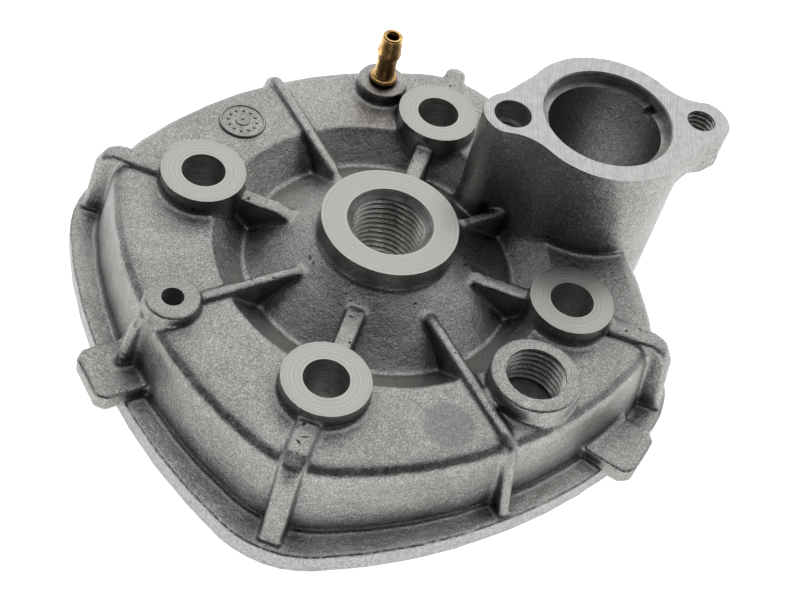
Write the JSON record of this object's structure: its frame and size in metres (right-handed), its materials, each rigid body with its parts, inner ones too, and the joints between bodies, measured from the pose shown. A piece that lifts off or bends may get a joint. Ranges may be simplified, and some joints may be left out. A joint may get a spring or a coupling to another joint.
{
  "type": "cylinder head",
  "caption": "Water-cooled two-stroke cylinder head: ribbed aluminium casting with side thermostat housing, bleed nipple and joint-face seal rings",
  "frame": {"origin": "middle of the footprint, on the joint face that rests on the cylinder; the spark plug axis is 4.65 mm towards -X", "axes": "+Z along the spark plug axis away from the cylinder, +X from the plug towards the thermostat housing"},
  "size_m": [0.1186, 0.1022, 0.0381],
  "materials": {
    "aluminium": "cast, with machined seats",
    "brass": "turned, dulled",
    "rubber": "matte"
  },
  "bodies": {
    "root": {"head_casting": "aluminium", "bleed_nipple": "brass", "chamber_seal_ring": "rubber", "jacket_seal_ring": "rubber"}
  },
  "joints": []
}
